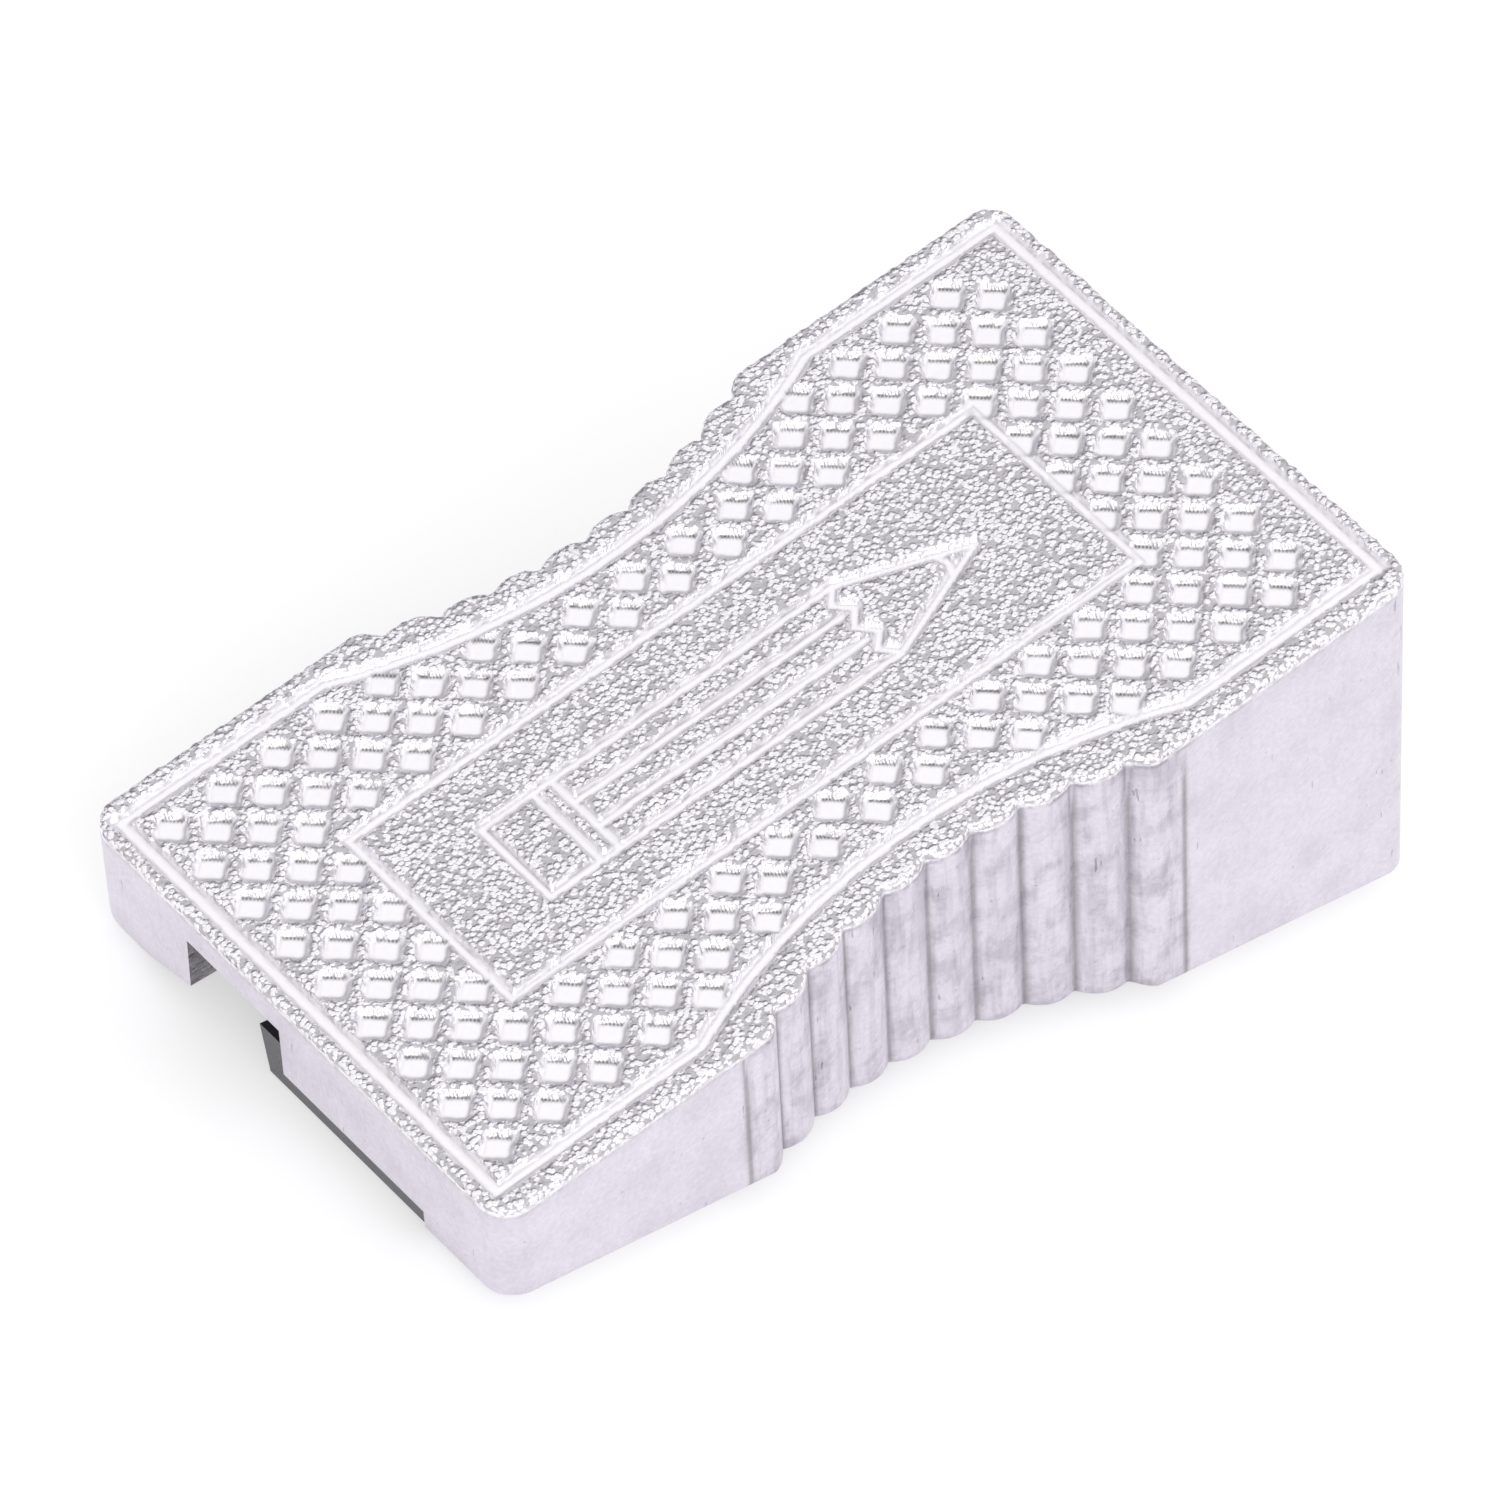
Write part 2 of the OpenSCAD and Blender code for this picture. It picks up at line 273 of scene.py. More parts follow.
depth = channel(border_distance, BORDER_FLOOR, BORDER_WALL * ragged)
# painted shade: a dark line along the foot of each sunk wall, here and for the panel and the pencil below
crease_shade = shade_line(border_distance, 0.11, 0.035) * 0.25
depth = np.maximum(depth, SHALLOW * channel(panel_distance, PANEL_FLOOR, PANEL_WALL * ragged))
crease_shade = np.maximum(crease_shade, shade_line(panel_distance, SHADE_LINE_AT, SHADE_LINE_W) * 0.25)

# the lattice of sunk diamonds between the border and the panel
dimples = np.zeros(len(P))
for i in range(int((BODY_L - 2 * DIMPLE_U0) / DIMPLE_PU) + 1):
    for j in range(-9, 10):
        cu, cv = DIMPLE_U0 + i * DIMPLE_PU, j * DIMPLE_PV
        mine = (np.abs(u - cu) < DIMPLE_REACH) & (np.abs(v - cv) < DIMPLE_REACH)
        room = min(BORDER_HALF - abs(cv), border_arc(cu) - abs(cv), cu - BORDER_U0, BORDER_U1 - cu)
        off_panel = max(PANEL_U0 - cu, cu - PANEL_U1, abs(cv) - PANEL_HALF)
        if (i + j) % 2 or room < DIMPLE_ROOM or off_panel < DIMPLE_OFF_PANEL or not mine.any():
            continue
        du, dv = u[mine] - cu, v[mine] - cv
        a, b = (du + dv) * math.sqrt(0.5), (du - dv) * math.sqrt(0.5)
        q = (np.abs(a) ** 6 + np.abs(b) ** 6) ** (1 / 6)
        hit = channel(q, DIMPLE_FLOOR, DIMPLE_WALL * ragged[mine])
        # painted shade: a dark ring round each diamond's foot, strongest along its far wall
        far_wall = smooth((a - np.abs(b) + 0.03) / 0.06)
        shade_ring = shade_line(q, 0.275, 0.045) * (0.12 + 0.88 * far_wall * np.clip(ragged[mine], 0.8, 1))
        hit[(panel_gap[mine] < 0) | (inside_border[mine] < 0)] = 0
        dimples[mine] = np.maximum(dimples[mine], hit)
        crease_shade[mine] = np.maximum(crease_shade[mine], shade_ring)
depth = np.maximum(depth, dimples)

in_panel = panel_gap < -0.3
picture = np.full(len(P), FAR)
picture[in_panel] = distance_to_segments(P[in_panel], *pencil_strokes())
depth = np.maximum(depth, SHALLOW * channel(picture, PANEL_FLOOR, PICTURE_WALL * ragged))
crease_shade = np.maximum(crease_shade, shade_line(picture, SHADE_LINE_AT, SHADE_LINE_W) * 0.3)
sandy = smooth(1 - 1.9 * depth)

rim_in = np.clip(RIM_R - distance_to_rim() - 0.03 * patchy(P, 0.16, 3), 0, RIM_R)
grain = 0.01 * (1 + patchy(P, 0.12, 4)) * (1 - depth)
height = -RECESS * depth - grain - (RIM_R - np.sqrt(RIM_R ** 2 - rim_in ** 2))


# ---------------------------------------------------------------- meshes
def new_object(name, verts, faces):
    mesh = bpy.data.meshes.new(name)
    mesh.from_pydata([tuple(p) for p in verts], [], faces)
    mesh.update()
    obj = bpy.data.objects.new(name, mesh)
    bpy.context.scene.collection.objects.link(obj)
    return obj


def new_solid(name, verts, faces):
    """The same for a closed mesh, with every face turned outwards."""
    obj = new_object(name, verts, faces)
    bm = bmesh.new()
    bm.from_mesh(obj.data)
    bmesh.ops.recalc_face_normals(bm, faces=bm.faces)
    bm.to_mesh(obj.data)
    bm.free()
    return obj


def set_smooth(obj, angle):
    """Smooth shading, with a sharp edge wherever two faces meet at more than the angle."""
    bm = bmesh.new()
    bm.from_mesh(obj.data)
    bm.normal_update()
    for f in bm.faces:
        f.smooth = True
    limit = math.radians(angle)
    for e in bm.edges:
        e.smooth = len(e.link_faces) == 2 and e.calc_face_angle(0) < limit
    bm.to_mesh(obj.data)
    bm.free()


def boolean(obj, cutter, surface=0):
    """Cuts one object with another; the new walls get the material in slot number surface."""
    for material in obj.data.materials:
        cutter.data.materials.append(material)
    for face in cutter.data.polygons:
        face.material_index = surface
    mod = obj.modifiers.new("cut", "BOOLEAN")
    mod.object = cutter
    mod.operation = "DIFFERENCE"
    mod.solver = "EXACT"
    bpy.context.view_layer.objects.active = obj
    bpy.context.view_layer.update()
    depsgraph = bpy.context.evaluated_depsgraph_get()
    result = bpy.data.meshes.new_from_object(obj.evaluated_get(depsgraph))
    obj.modifiers.clear()
    old = obj.data
    obj.data = result
    bpy.data.meshes.remove(old)
    bpy.data.objects.remove(cutter)


def rectangle(x0, x1, y0, y1):
    return [(x0, y0), (x1, y0), (x1, y1), (x0, y1)]


def prism(name, polygon, low, high, place):
    """A prism over an (x, y) polygon from z = low to high, moved by place(point)."""
    n = len(polygon)
    verts = [place(Vector((x, y, z))) for z in (low, high) for x, y in polygon]
    faces = [tuple(range(n - 1, -1, -1)), tuple(range(n, 2 * n))]
    faces += [(k, (k + 1) % n, n + (k + 1) % n, n + k) for k in range(n)]
    return new_solid(name, verts, faces)


def lathe(name, profile, place, steps):
    """A closed solid of revolution about z from (r, z) points that start and end on the axis."""
    angles = [2 * math.pi * k / steps for k in range(steps)]
    verts, rings = [], []
    for r, z in profile:
        count = steps if r else 1
        rings.append(list(range(len(verts), len(verts) + count)))
        verts += [place(Vector((r * math.cos(t), r * math.sin(t), z))) for t in angles[:count]]
    faces = []
    for a, b in zip(rings, rings[1:]):
        for k in range(steps):
            n = (k + 1) % steps
            if len(a) == 1:
                faces.append((a[0], b[k], b[n]))
            elif len(b) == 1:
                faces.append((a[k], b[0], a[n]))
            else:
                faces.append((a[k], b[k], b[n], a[n]))
    return new_solid(name, verts, faces)


def centred(p):
    """From the sharpener's own axes, with x = 0 at the thin end, to the row frame."""
    return Vector((p.x - MID_X, p.y, p.z))


def on_axis(p):
    """z runs along the conical bore from its apex."""
    return centred(Vector((APEX_X + p.x * SIN_C + p.z * COS_C, AXIS_Y + p.y, BLADE_T - p.x * COS_C + p.z * SIN_C)))


def over_axis(p):
    """x runs along the bore's slope, z square to it."""
    return centred(Vector((p.x * COS_C - p.z * SIN_C, p.y, BLADE_T + p.x * SIN_C + p.z * COS_C)))


def at_screw(p):
    return centred(Vector((SCREW_X + p.x, SCREW_Y + p.y, p.z)))


def along_blade(p):
    """(x, y) is the blade's cross-section, z runs along it."""
    return centred(Vector((BLADE_X + p.z, EDGE_Y + p.x, p.y)))


def on_ramp(p):
    """The plane that slopes down from the slot to the flank."""
    c, s = math.cos(RAMP), math.sin(RAMP)
    return centred(Vector((p.x, RAMP_Y + p.y * c + p.z * s, FLANK_Z - p.y * s + p.z * c)))


def build_shell():
    """The body's sides and underside, closed by a flat lid on the plane LID_W."""
    n = len(LOOP)
    ahead = np.roll(LOOP, -1, axis=0)
    tangent = ahead - np.roll(LOOP, 1, axis=0)
    tangent /= np.hypot(*tangent.T)[:, None]
    turn = np.sign((LOOP[:, 0] * ahead[:, 1] - LOOP[:, 1] * ahead[:, 0]).sum())
    inward = np.stack([-tangent[:, 1], tangent[:, 0]], axis=1) * turn
    for _ in range(14):
        inward = inward / np.hypot(*inward.T)[:, None]
        inward = (np.roll(inward, 1, axis=0) + 2 * inward + np.roll(inward, -1, axis=0)) / 4
    at_corner = (LOOP[:, 0] < CORNER_R) | (LOOP[:, 0] > BODY_L - CORNER_R)
    corner_r = END_LOWER_R + (LOWER_R - END_LOWER_R) * np.clip(np.abs(inward[:, 1]), 0, 1)
    lower_r = np.where(at_corner, corner_r, LOWER_R)
    start = lower_r / COS_W - (THIN_H + LOOP[:, 0] * TAN_W)
    rings = [face_point(LOOP[:, 0], LOOP[:, 1], LID_W + (start - LID_W) * t) for t in SHELL_LEVELS]
    for k in range(1, ROUND_STEPS + 1):
        angle = math.pi / 2 * k / ROUND_STEPS
        at = LOOP + inward * (lower_r * (1 - math.cos(angle)))[:, None]
        low = -(THIN_H + at[:, 0] * TAN_W) + lower_r * (1 - math.sin(angle)) / COS_W
        rings.append(face_point(at[:, 0], at[:, 1], low))
    faces = []
    for r in range(len(rings) - 1):
        for k in range(n):
            m = (k + 1) % n
            faces.append((r * n + k, r * n + m, (r + 1) * n + m, (r + 1) * n + k))
    last = (len(rings) - 1) * n
    faces.append(tuple(range(n)))
    faces.append(tuple(last + k for k in range(n - 1, -1, -1)))
    return new_solid("sharpener_body", np.concatenate(rings), faces)


def put_face_on(obj):
    """Takes the shell's lid off and puts the detailed face in its place, joined by a strip round the rim."""
    bm = bmesh.new()
    bm.from_mesh(obj.data)
    bm.faces.ensure_lookup_table()
    large = [f for f in bm.faces if len(f.verts) > MANY_SIDES]
    bm.faces.remove(max(large, key=lambda f: f.calc_center_median().z))
    layers = bm.verts.layers.float
    for name in ("crease_shade", "sandy"):
        layers.new(name)
    crease_shade_layer, sandy_layer = layers["crease_shade"], layers["sandy"]
    # painted shade: a dark line down each groove between the ribs on the sides
    for vert in bm.verts:
        along = vert.co.x * COS_W + vert.co.z * SIN_W + MID_X * COS_W - THIN_Z * SIN_W
        beside = (along - WAIST_U + RIB_PITCH / 2) % RIB_PITCH - RIB_PITCH / 2
        if abs(along - WAIST_U) < RIBS_HALF + 0.2 and abs(vert.co.y) > 4.6:
            vert[crease_shade_layer] = 0.55 * math.exp(-(beside / 0.07) ** 2)
    top = []
    for point, painted_shade, rough in zip(face_point(P[:, 0], P[:, 1], height), crease_shade, sandy):
        vert = bm.verts.new(tuple(point))
        vert[crease_shade_layer], vert[sandy_layer] = float(painted_shade), float(rough)
        top.append(vert)
    for i in range(N_U - 1):
        for j in range(N_V - 1):
            a = i * N_V + j
            bm.faces.new((top[a], top[a + N_V], top[a + N_V + 1], top[a + 1]))
    rim_index = round_the_rim(np.arange(N_U * N_V).reshape(N_U, N_V))
    rim_w = height[rim_index]
    above = [top[k] for k in rim_index]
    for part, rough in ((0.35, 0.5), (1.0, 0.0)):
        below = []
        for point in face_point(LOOP[:, 0], LOOP[:, 1], rim_w + (LID_W - rim_w) * part):
            below.append(bm.verts.new(tuple(point)))
            below[-1][sandy_layer] = rough
        for k in range(len(above)):
            m = (k + 1) % len(above)
            bm.faces.new((above[k], above[m], below[m], below[k]))
        above = below
    bmesh.ops.remove_doubles(bm, verts=bm.verts, dist=0.0012)
    bmesh.ops.recalc_face_normals(bm, faces=bm.faces)
    bm.to_mesh(obj.data)
    bm.free()


# the cast body, and the pockets cut into it
body = build_shell()
for name in ("cast_metal", "milled_metal", "bored_metal"):
    body.data.materials.append(bpy.data.materials.new(name))
CAST, MILLED, BORED = range(3)
seat = rectangle(-OUT, BLADE_X + BLADE_L + GAP, EDGE_Y - BLADE_W - GAP, EDGE_Y + CHIP_ROOM)
mouth = [(-1, 0.5), (-1, MOUTH_Y), (WIDE_X, SLOT_Y), (WIDE_X, 0.5)]
slot = [(1, AXIS_Y), (1, MOUTH_Y), (WIDE_X, SLOT_Y), (15.5, SLOT_Y), (17, 3.9), (18, 3.1), (18.5, AXIS_Y)]
ramp = rectangle(RAMP_X0, RAMP_X1, -(RAMP_Y - AXIS_Y) / math.cos(RAMP), 0)
hole = [(0, 0), (PENCIL_R, CONE_L), (PENCIL_R, CONE_L + OUT), (0, CONE_L + OUT)]
screw_end = BLADE_T + THREAD_L
screw_hole = [(0, -1), (HEAD_R + GAP, -1), (HEAD_R + GAP, 0), (SCREW_R, HEAD_R - SCREW_R + GAP),
              (SCREW_R, screw_end + 0.4), (0, screw_end + 0.7)]
boolean(body, prism("seat", seat, -1, BLADE_T, centred), MILLED)
boolean(body, prism("mouth", mouth, -1, BLADE_T + 1.5, centred), MILLED)
boolean(body, prism("slot", slot, -OUT, 0, over_axis), MILLED)
boolean(body, prism("ramp", ramp, -OUT, 0, on_ramp), MILLED)
boolean(body, lathe("hole", hole, on_axis, 128), BORED)
boolean(body, lathe("screw_hole", screw_hole, at_screw, 64), MILLED)
put_face_on(body)

# the blade: a hardened strip with a ground edge and a countersunk hole
section = [(-BLADE_W, 0.04), (-BLADE_W + 0.04, 0), (-BEVEL_W, 0), (-0.012, BLADE_T - 0.02), (-0.012, BLADE_T),
           (-BLADE_W + 0.04, BLADE_T), (-BLADE_W, BLADE_T - 0.04)]
sink = [(0, -1), (HEAD_R + GAP, -1), (HEAD_R + GAP, 0), (SCREW_R + GAP, HEAD_R - SCREW_R), (SCREW_R + GAP, 2), (0, 2)]
blade = prism("steel_blade", section, 0, BLADE_L, along_blade)
boolean(blade, lathe("sink", sink, at_screw, 64))

# the screw: a slotted countersunk head on a plain round shank
turned = [(0, 0.0), (HEAD_R - 0.06, 0.0), (HEAD_R, 0.05), (HEAD_R - 0.02, 0.1), (SCREW_R - 0.03, HEAD_R - SCREW_R),
          (SCREW_R - 0.03, screw_end - 0.25), (SCREW_R - 0.25, screw_end), (0, screw_end)]
driver = rectangle(-HEAD_R * 2, HEAD_R * 2, -DRIVER_HALF, DRIVER_HALF)
screw = lathe("slotted_screw", turned, at_screw, 96)
boolean(screw, prism("driver", driver, -1, DRIVER_DEPTH, at_screw))

for obj, angle in ((body, 40), (blade, 20), (screw, 30)):
    obj.data.transform(Matrix.Scale(MM, 4))
    set_smooth(obj, angle)


# ---------------------------------------------------------------- materials
class Nodes:
    """Short calls for building one material; its textures are laid out in millimetres."""

    def __init__(self, name):
        self.mat = bpy.data.materials.get(name) or bpy.data.materials.new(name)
        self.mat.use_nodes = True
        self.tree = self.mat.node_tree
        self.bsdf = self.tree.nodes["Principled BSDF"]
        coords = self.tree.nodes.new("ShaderNodeTexCoord")
        scale = self.tree.nodes.new("ShaderNodeVectorMath")
        scale.operation = "SCALE"
        scale.inputs["Scale"].default_value = 1 / MM
        self.tree.links.new(coords.outputs["Object"], scale.inputs[0])
        self.mm = scale.outputs[0]

    def put(self, value, socket):
        """Sets a socket to a number, a vector or a colour, or links it to another node's output."""
        if isinstance(value, bpy.types.NodeSocket):
            self.tree.links.new(value, socket)
        elif isinstance(value, tuple) and socket.type == "RGBA":
            socket.default_value = (*value, 1)
        else:
            socket.default_value = value

    def node(self, kind, output, inputs, **settings):
        """Adds a node with these settings and inputs, and returns one of its outputs."""
        n = self.tree.nodes.new(kind)
        for key, value in settings.items():
            setattr(n, key, value)
        for key, value in inputs.items():
            self.put(value, n.inputs[key])
        return n.outputs[output]

    def noise(self, scale, detail=2, rough=0.5, stretch=None):
        place = self.mm
        if stretch:
            place = self.node("ShaderNodeMapping", 0, {"Scale": stretch, "Vector": place})
        inputs = {"Scale": scale, "Detail": detail, "Roughness": rough, "Distortion": 0.0, "Vector": place}
        return self.node("ShaderNodeTexNoise", "Fac", inputs)

    def cells(self, scale):
        """Distance to the nearest of many scattered points."""
        return self.node("ShaderNodeTexVoronoi", "Distance", {"Scale": scale, "Vector": self.mm}, feature="F1")

    def add(self, a, b):
        return self.node("ShaderNodeMath", 0, {0: a, 1: b}, operation="ADD")

    def sub(self, a, b):
        return self.node("ShaderNodeMath", 0, {0: a, 1: b}, operation="SUBTRACT")

    def mul(self, a, b):
        return self.node("ShaderNodeMath", 0, {0: a, 1: b}, operation="MULTIPLY")

    def mad(self, a, b, c):
        """a * b + c"""
        return self.node("ShaderNodeMath", 0, {0: a, 1: b, 2: c}, operation="MULTIPLY_ADD")

    def step(self, x, low, high, out_low=0.0, out_high=1.0):
        """A smooth step from out_low to out_high while x goes from low to high."""
        inputs = {"Value": x, "From Min": low, "From Max": high, "To Min": out_low, "To Max": out_high}
        return self.node("ShaderNodeMapRange", 0, inputs, interpolation_type="SMOOTHSTEP")

    def dot(self, vec):
        return self.node("ShaderNodeVectorMath", "Value", {0: self.mm, 1: vec}, operation="DOT_PRODUCT")

    def layer(self, name):
        """A value stored on the mesh's vertices."""
        return self.node("ShaderNodeAttribute", "Fac", {}, attribute_name=name)

    def use_axes(self, x, y, z):
        """From here on the textures run along these three distances instead of the row axes."""
        self.mm = self.node("ShaderNodeCombineXYZ", 0, {0: x, 1: y, 2: z})

    def mix(self, fac, a, b):
        """From colour a to colour b."""
        return self.node("ShaderNodeMix", "Result", {"Factor": fac, "A": a, "B": b}, data_type="RGBA")

    def metal(self, colour, roughness, relief, depth):
        """Fills in a metal surface; its relief is depth metres deep."""
        inputs = {"Distance": depth, "Strength": 1.0, "Height": relief}
        normal = self.node("ShaderNodeBump", "Normal", inputs)
        for key, value in (("Base Color", colour), ("Roughness", roughness), ("Normal", normal), ("Metallic", 1.0)):
            self.put(value, self.bsdf.inputs[key])
        return self.mat


# painted shade: the near-black of the dark lines at sunk walls' feet and in the rib grooves; the next colour is for
# the sides' stains together with painted shade
SHADE_BLACK, STAIN_AND_SHADE_TONE = (0.05, 0.044, 0.044), (0.33, 0.30, 0.365)
FLOOR_TONES = (0.89, 0.865, 0.905), (0.98, 0.955, 0.99)
SIDE_TONES = (0.56, 0.53, 0.595), (0.84, 0.805, 0.875)
BEAD_TONES = (0.55, 0.53, 0.565), (0.93, 0.905, 0.945)
MILLED_TONES = (0.16, 0.145, 0.175), (0.44, 0.415, 0.46)
BORED_TONES = (0.52, 0.505, 0.54), (0.76, 0.735, 0.78)
STEEL_TONES = (0.12, 0.12, 0.13), (0.27, 0.27, 0.285)
PLATED_TONES = (0.5, 0.5, 0.52), (0.72, 0.72, 0.73)


def cast_metal():
    """The casting's skin: a sandy beaded field, plain sunk floors, and stained sides with small pits; painted shade
    darkens the creases, the sides' lowest edge and a strip under the rim.
    """
    n = Nodes("cast_metal")
    along = n.add(n.dot((COS_W, 0, SIN_W)), MID_X * COS_W - THIN_Z * SIN_W)
    level = n.sub(n.dot((-SIN_W, 0, COS_W)), THIN_Z * COS_W + MID_X * SIN_W)
    across, up_from_floor = n.dot((0, 1, 0)), n.dot((0, 0, 1))
    n.use_axes(along, across, level)
    sandy = n.layer("sandy")
    side = n.step(level, -0.30, -0.19, 1.0, 0.0)
    ribs = n.mul(n.step(along, WAIST_U - 6.4, WAIST_U - 5.8), n.step(along, WAIST_U + 5.8, WAIST_U + 6.4, 1.0, 0.0))
    # the sandy field: packed beads with dark gaps
    bead = n.step(n.cells(8.2), 0.34, 0.72, 1.0, 0.0)
    sand = n.mad(bead, 0.45, n.mul(n.noise(9.5, 2, 0.62), 0.6))
    # the plain skin of the sides and of the sunk floors
    skin, fine = n.noise(2.2, 3, 0.55), n.noise(8, 3, 0.6)
    pits = n.step(n.cells(1.9), 0.02, 0.09, 1.0, 0.0)
    streaks = n.step(n.noise(1.0, 3, 0.6, (4.5, 4.5, 0.5)), 0.40, 0.70)
    scratches = n.step(n.noise(1.0, 2, 0.5, (7, 7, 1.1)), 0.71, 0.74)
    stain = n.step(n.noise(1.1, 4, 0.7), 0.42, 0.68)
    # painted shade: darker over the lowest 0.9 mm of the sides, next to the floor
    shade_near_floor = n.step(up_from_floor, 0.1, 0.9, 1.0, 0.0)
    # painted shade: darker in broken patches just under the rim
    shade_under_rim = n.mul(n.step(level, -0.42, -0.24), n.step(n.noise(2.6, 2, 0.5), 0.40, 0.56))
    plain_relief = n.sub(n.mad(skin, 0.3, n.mul(fine, 0.3)), n.mad(pits, 0.12, n.mul(scratches, 0.2)))
    relief = n.mad(n.mul(sand, 0.48), sandy, n.mul(plain_relief, n.mad(side, 0.75, 0.05)))
    # stains, pits and scratches, with the painted shade near the floor and under the rim; heavier over the ribbed
    # stretch, and only on the sides
    stains_and_shade = n.mul(streaks, n.mad(ribs, 0.24, 0.04))
    for place, at_ribs, elsewhere in ((stain, 0.24, 0.18), (shade_near_floor, 0.4, 0.14), (shade_under_rim, 0.45, 0.3)):
        stains_and_shade = n.mad(place, n.mad(ribs, at_ribs, elsewhere), stains_and_shade)
    stains_and_shade = n.mul(n.add(stains_and_shade, n.mad(pits, 0.35, n.mul(scratches, 0.5))), side)
    tone = n.mad(skin, 0.6, n.mul(fine, 0.75))
    bare = n.mix(side, n.mix(tone, *FLOOR_TONES), n.mix(tone, *SIDE_TONES))
    # painted shade: the crease lines darken the colour almost to black
    bare = n.mix(n.mul(n.layer("crease_shade"), 0.96), n.mix(stains_and_shade, bare, STAIN_AND_SHADE_TONE), SHADE_BLACK)
    colour = n.mix(sandy, bare, n.mix(n.step(sand, 0.34, 0.60), *BEAD_TONES))
    return n.metal(colour, n.mad(skin, 0.16, n.mad(side, 0.12, 0.27)), relief, 0.00009)


def milled_metal():
    """The blade's seat, the slot and the ramp: cut surfaces, darker than the casting's skin."""
    n = Nodes("milled_metal")
    marks, smear = n.noise(1.0, 3, 0.6, (0.4, 9, 9)), n.noise(1.6, 3, 0.6)
    tone = n.step(n.mad(marks, 0.5, n.mul(smear, 0.5)), 0.35, 0.65)
    relief = n.mad(marks, 0.6, n.noise(12))
    return n.metal(n.mix(tone, *MILLED_TONES), n.step(smear, 0.3, 0.7, 0.3, 0.45), relief, 0.00005)


def bored_metal():
    """The conical bore: turned rings round its axis."""
    n = Nodes("bored_metal")
    n.use_axes(n.dot((COS_C, 0, SIN_C)), n.dot((0, 1, 0)), n.dot((-SIN_C, 0, COS_C)))
    rings, smear = n.noise(1.0, 0, 0.5, (9, 0.12, 0.12)), n.noise(1.2, 3, 0.6)
    tone = n.mad(rings, 0.6, n.mul(smear, 0.4))
    return n.metal(n.mix(tone, *BORED_TONES), n.step(smear, 0.3, 0.7, 0.26, 0.4), rings, 0.00004)


def ground_steel():
    """The blade: fine lines along it."""
    n = Nodes("ground_steel")
    lines, spots = n.noise(4, 3, 0.6, (0.25, 9, 9)), n.noise(1.1, 3, 0.6)
    tone = n.add(n.mul(lines, 0.5), n.mul(spots, 0.5))
    return n.metal(n.mix(tone, *STEEL_TONES), n.step(spots, 0.3, 0.7, 0.26, 0.4), lines, 0.00002)


def plated_steel():
    """The screw: pale and a little shinier."""
    n = Nodes("plated_steel")
    spots, turning = n.noise(3, 3, 0.6), n.noise(7, 2, 0.5, (1, 1, 6))
    return n.metal(n.mix(spots, *PLATED_TONES), n.step(spots, 0.3, 0.7, 0.2, 0.34), turning, 0.00001)


def floor_material():
    n = Nodes("studio_floor")
    for key, value in (("Base Color", (0.5, 0.5, 0.503)), ("Roughness", 0.9),
                       ("Emission Color", (1, 1, 1)), ("Emission Strength", 0.5)):
        n.put(value, n.bsdf.inputs[key])
    return n.mat


# the body's three materials already sit in its slots, under their names
for fill in (cast_metal, milled_metal, bored_metal):
    fill()
blade.data.materials.append(ground_steel())
screw.data.materials.append(plated_steel())
for obj, node in ((body, "body"), (blade, "blade"), (screw, "screw")):
    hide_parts(node)
    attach(obj, "root")

# ---------------------------------------------------------------- floor, light and camera
FLOOR_SIZE, FLOOR_Z = 6, -0.0001
corners = [(*p, FLOOR_Z) for p in rectangle(-FLOOR_SIZE, FLOOR_SIZE, -FLOOR_SIZE, FLOOR_SIZE)]
floor = new_object("floor", corners, [(0, 1, 2, 3)])
floor.data.materials.append(floor_material())

# a white room, greyer on one side, dark on the other, and a little darker towards the horizon
SKY_AXIS = Vector((0.3, 0.95, 0.0)).normalized()
SKY_START, SKY_END = (0.76, 0.76, 0.77, 1), (0.3, 0.3, 0.32, 1)
SKY_END_AT, SKY_WHITE_AT = 0.85, (0.3, 0.5)
HORIZON, HORIZON_TOP, SKY_STRENGTH = 0.7, 0.5, 1.17
world = bpy.data.worlds.new("studio")
bpy.context.scene.world = world
world.use_nodes = True
sky, link = world.node_tree.nodes, world.node_tree.links.new
coords = sky.new("ShaderNodeTexCoord")
side = sky.new("ShaderNodeVectorMath")
side.operation = "DOT_PRODUCT"
side.inputs[1].default_value = SKY_AXIS
ramp = sky.new("ShaderNodeValToRGB")
stops = ramp.color_ramp.elements
stops[0].position, stops[0].color = 0.0, SKY_START
stops[1].position, stops[1].color = SKY_END_AT, SKY_END
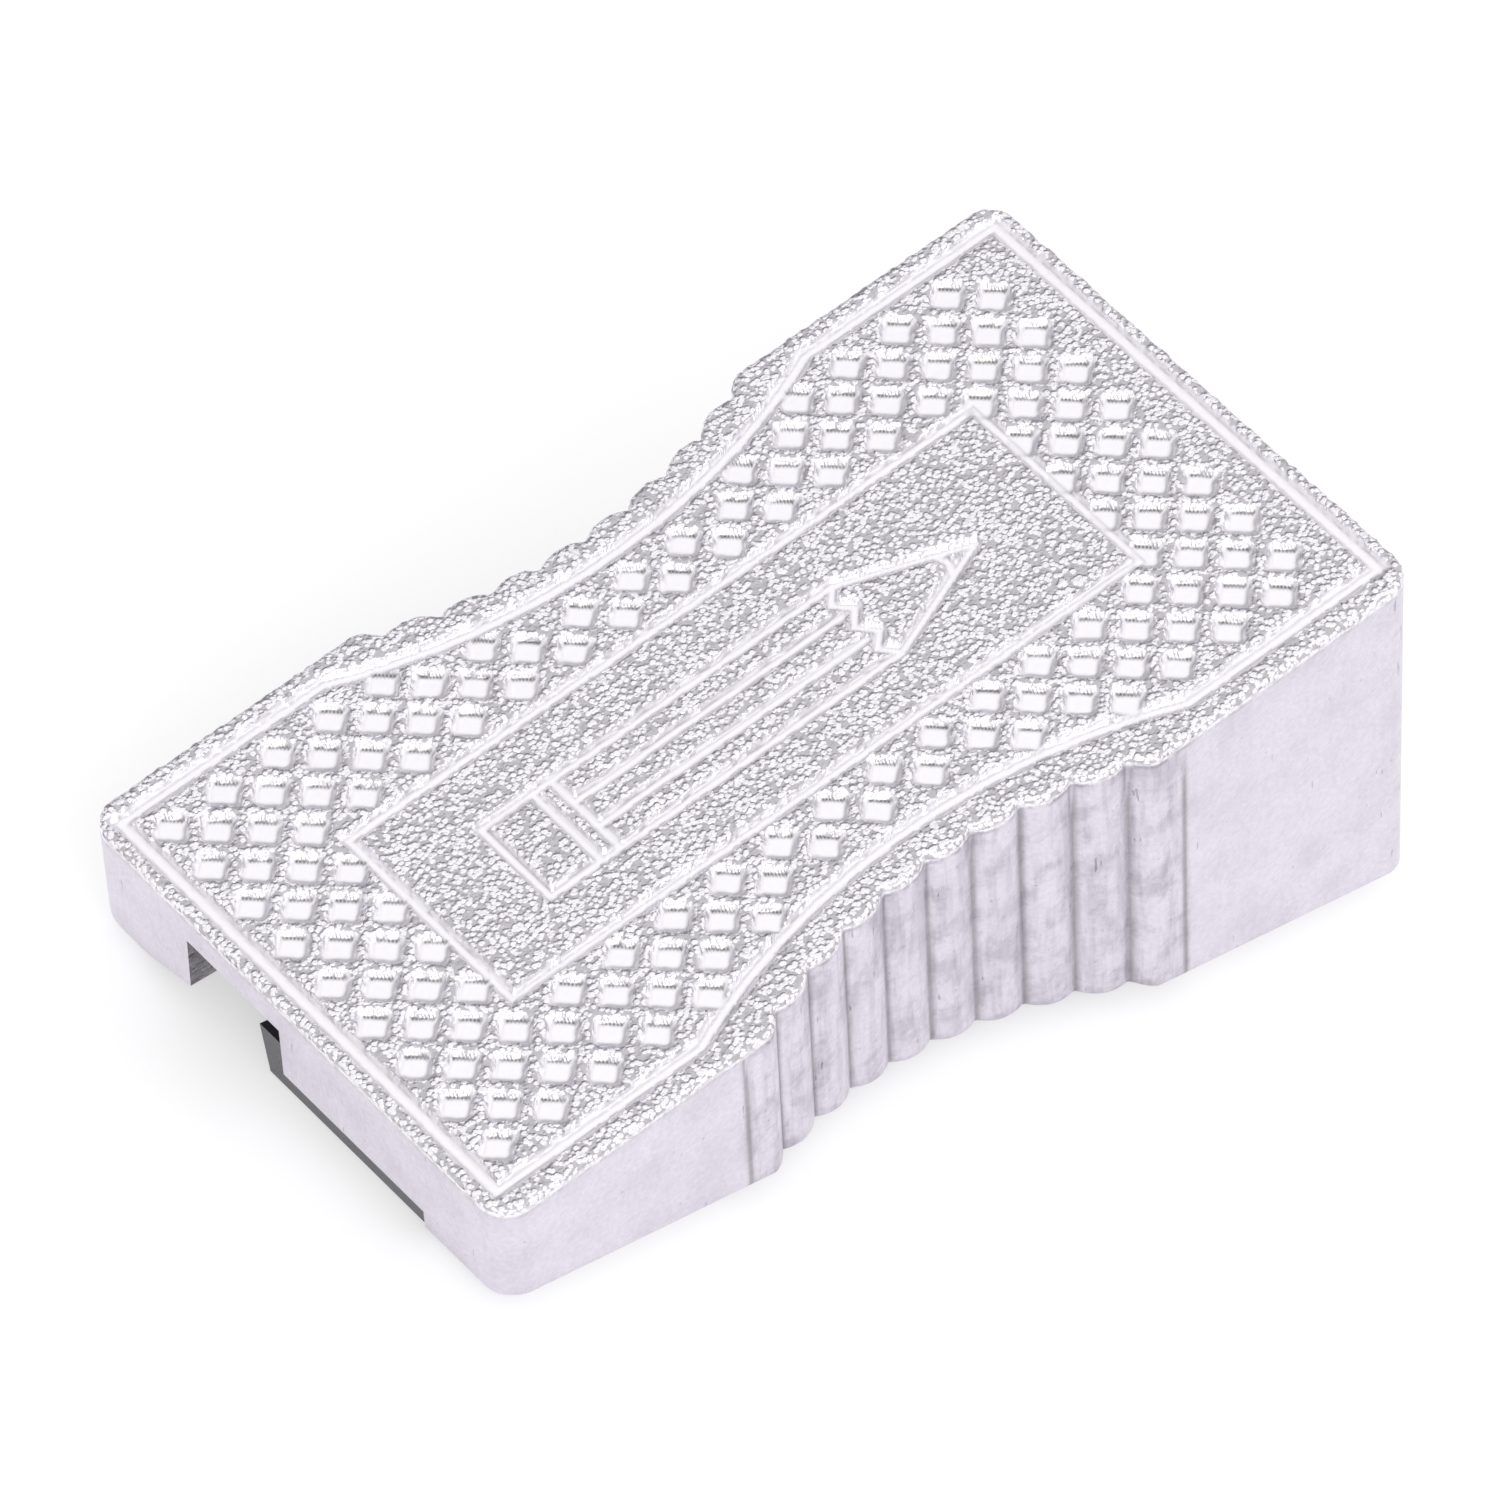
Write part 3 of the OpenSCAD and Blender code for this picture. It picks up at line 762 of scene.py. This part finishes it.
for position in SKY_WHITE_AT:
    stops.new(position).color = (1, 1, 1, 1)
parts = sky.new("ShaderNodeSeparateXYZ")
lift = sky.new("ShaderNodeMapRange")
lift.inputs["From Max"].default_value = HORIZON_TOP
lift.inputs["To Min"].default_value = HORIZON
shade = sky.new("ShaderNodeVectorMath")
shade.operation = "SCALE"
link(coords.outputs["Generated"], side.inputs[0])
link(side.outputs["Value"], ramp.inputs["Fac"])
link(coords.outputs["Generated"], parts.inputs[0])
link(parts.outputs["Z"], lift.inputs["Value"])
link(ramp.outputs["Color"], shade.inputs[0])
link(lift.outputs[0], shade.inputs["Scale"])
link(shade.outputs[0], sky["Background"].inputs["Color"])
sky["Background"].inputs["Strength"].default_value = SKY_STRENGTH
bpy.context.scene.view_settings.view_transform = "Standard"


def area_light(name, place, size, power):
    """A rectangular light that faces the origin."""
    data = bpy.data.lights.new(name, "AREA")
    data.shape = "RECTANGLE"
    data.size, data.size_y = size
    data.energy = power
    obj = bpy.data.objects.new(name, data)
    bpy.context.scene.collection.objects.link(obj)
    obj.location = place
    obj.rotation_euler = (-Vector(place)).to_track_quat("-Z", "Y").to_euler()


area_light("softbox_front", (-0.3, -0.35, 0.32), (0.42, 0.32), 1.45)
area_light("softbox_right", (0.45, -0.45, 0.4), (0.8, 0.6), 0.6)

CAMERA_AT = Vector((-0.14923, -0.12187, 0.17688))
VIEW_DIR = Vector((0.57512, 0.47351, -0.66710)).normalized()
VIEW_RIGHT = Vector((0.74323, -0.64317, 0.18424)).normalized()
cam_data = bpy.data.cameras.new("camera")
cam_data.sensor_width, cam_data.lens = 36, 293.06
cam_data.clip_start, cam_data.clip_end = 0.01, 20
camera = bpy.data.objects.new("camera", cam_data)
bpy.context.scene.collection.objects.link(camera)
bpy.context.scene.camera = camera
axes = Matrix((VIEW_RIGHT, VIEW_RIGHT.cross(VIEW_DIR).normalized(), -VIEW_DIR)).transposed()
camera.matrix_world = Matrix.Translation(CAMERA_AT) @ axes.to_4x4()
